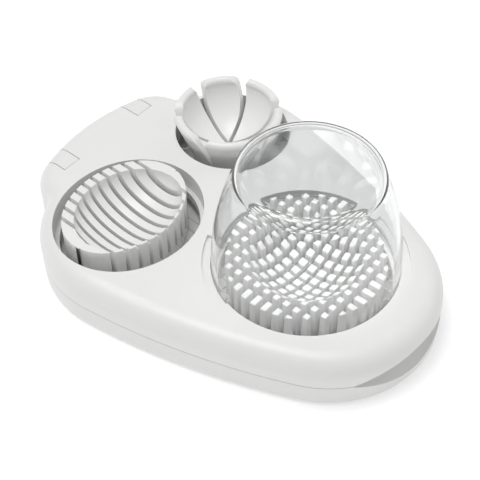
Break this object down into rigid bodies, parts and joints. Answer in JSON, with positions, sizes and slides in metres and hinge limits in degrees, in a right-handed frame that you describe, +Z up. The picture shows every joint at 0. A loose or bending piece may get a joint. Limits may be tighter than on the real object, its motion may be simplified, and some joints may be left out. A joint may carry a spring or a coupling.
{
  "type": "egg slicer",
  "caption": "Pear-shaped white egg slicer with a wired hinged lid, a slatted slicer cradle, a petal wedger, a pin-field dicer and a clear dome over the dicer.",
  "frame": {"origin": "on the table under the middle of the object's bounding box, with the lid closed and the dome on", "axes": "+Z up, +Y towards the hinge, +X to the right when the hinge is at the back and the finger scoop in front"},
  "size_m": [0.1436, 0.1929, 0.0778],
  "materials": {
    "white_plastic": "satin white ABS",
    "seat_plastic": "satin white ABS",
    "carrier_plastic": "matte white ABS",
    "screw_steel": "bright zinc-plated steel",
    "pin_steel": "ground stainless steel",
    "wire_steel": "drawn stainless wire",
    "foot_rubber": "light grey rubber",
    "dome_clear": "clear moulded plastic"
  },
  "bodies": {
    "base": {"base_tray": "white_plastic", "slicer_seat": "seat_plastic", "dicer_seat": "seat_plastic", "wedger_seat": "seat_plastic", "slicer_seat_screws": "screw_steel", "dicer_seat_screws": "screw_steel", "wedger_seat_screws": "screw_steel", "foot_nose_left": "foot_rubber", "foot_nose_right": "foot_rubber", "foot_rear_left": "foot_rubber", "foot_rear_right": "foot_rubber", "hinge_pin_left": "pin_steel", "hinge_pin_right": "pin_steel"},
    "lid": {"cutting_lid": "white_plastic", "slicer_wire_carrier": "carrier_plastic", "dicer_wire_carrier": "carrier_plastic", "wedger_wire_carrier": "carrier_plastic", "slicer_carrier_screws": "screw_steel", "dicer_carrier_screws": "screw_steel", "wedger_carrier_screws": "screw_steel", "slicer_wires": "wire_steel", "dicer_wires_lengthwise": "wire_steel", "dicer_wires_crosswise": "wire_steel", "wedger_wires": "wire_steel"},
    "dome": {"dome": "dome_clear"}
  },
  "joints": [
    {"name": "lid_hinge", "type": "hinge", "parent": "base", "child": "lid", "pos_m": [0, 0.08795, 0.0168], "axis": [-1, 0, 0], "range_deg": [0, 110]},
    {"name": "dome_lift", "type": "slide", "parent": "lid", "child": "dome", "axis": [0, 0, 1], "range_m": [0, 0.06]}
  ]
}
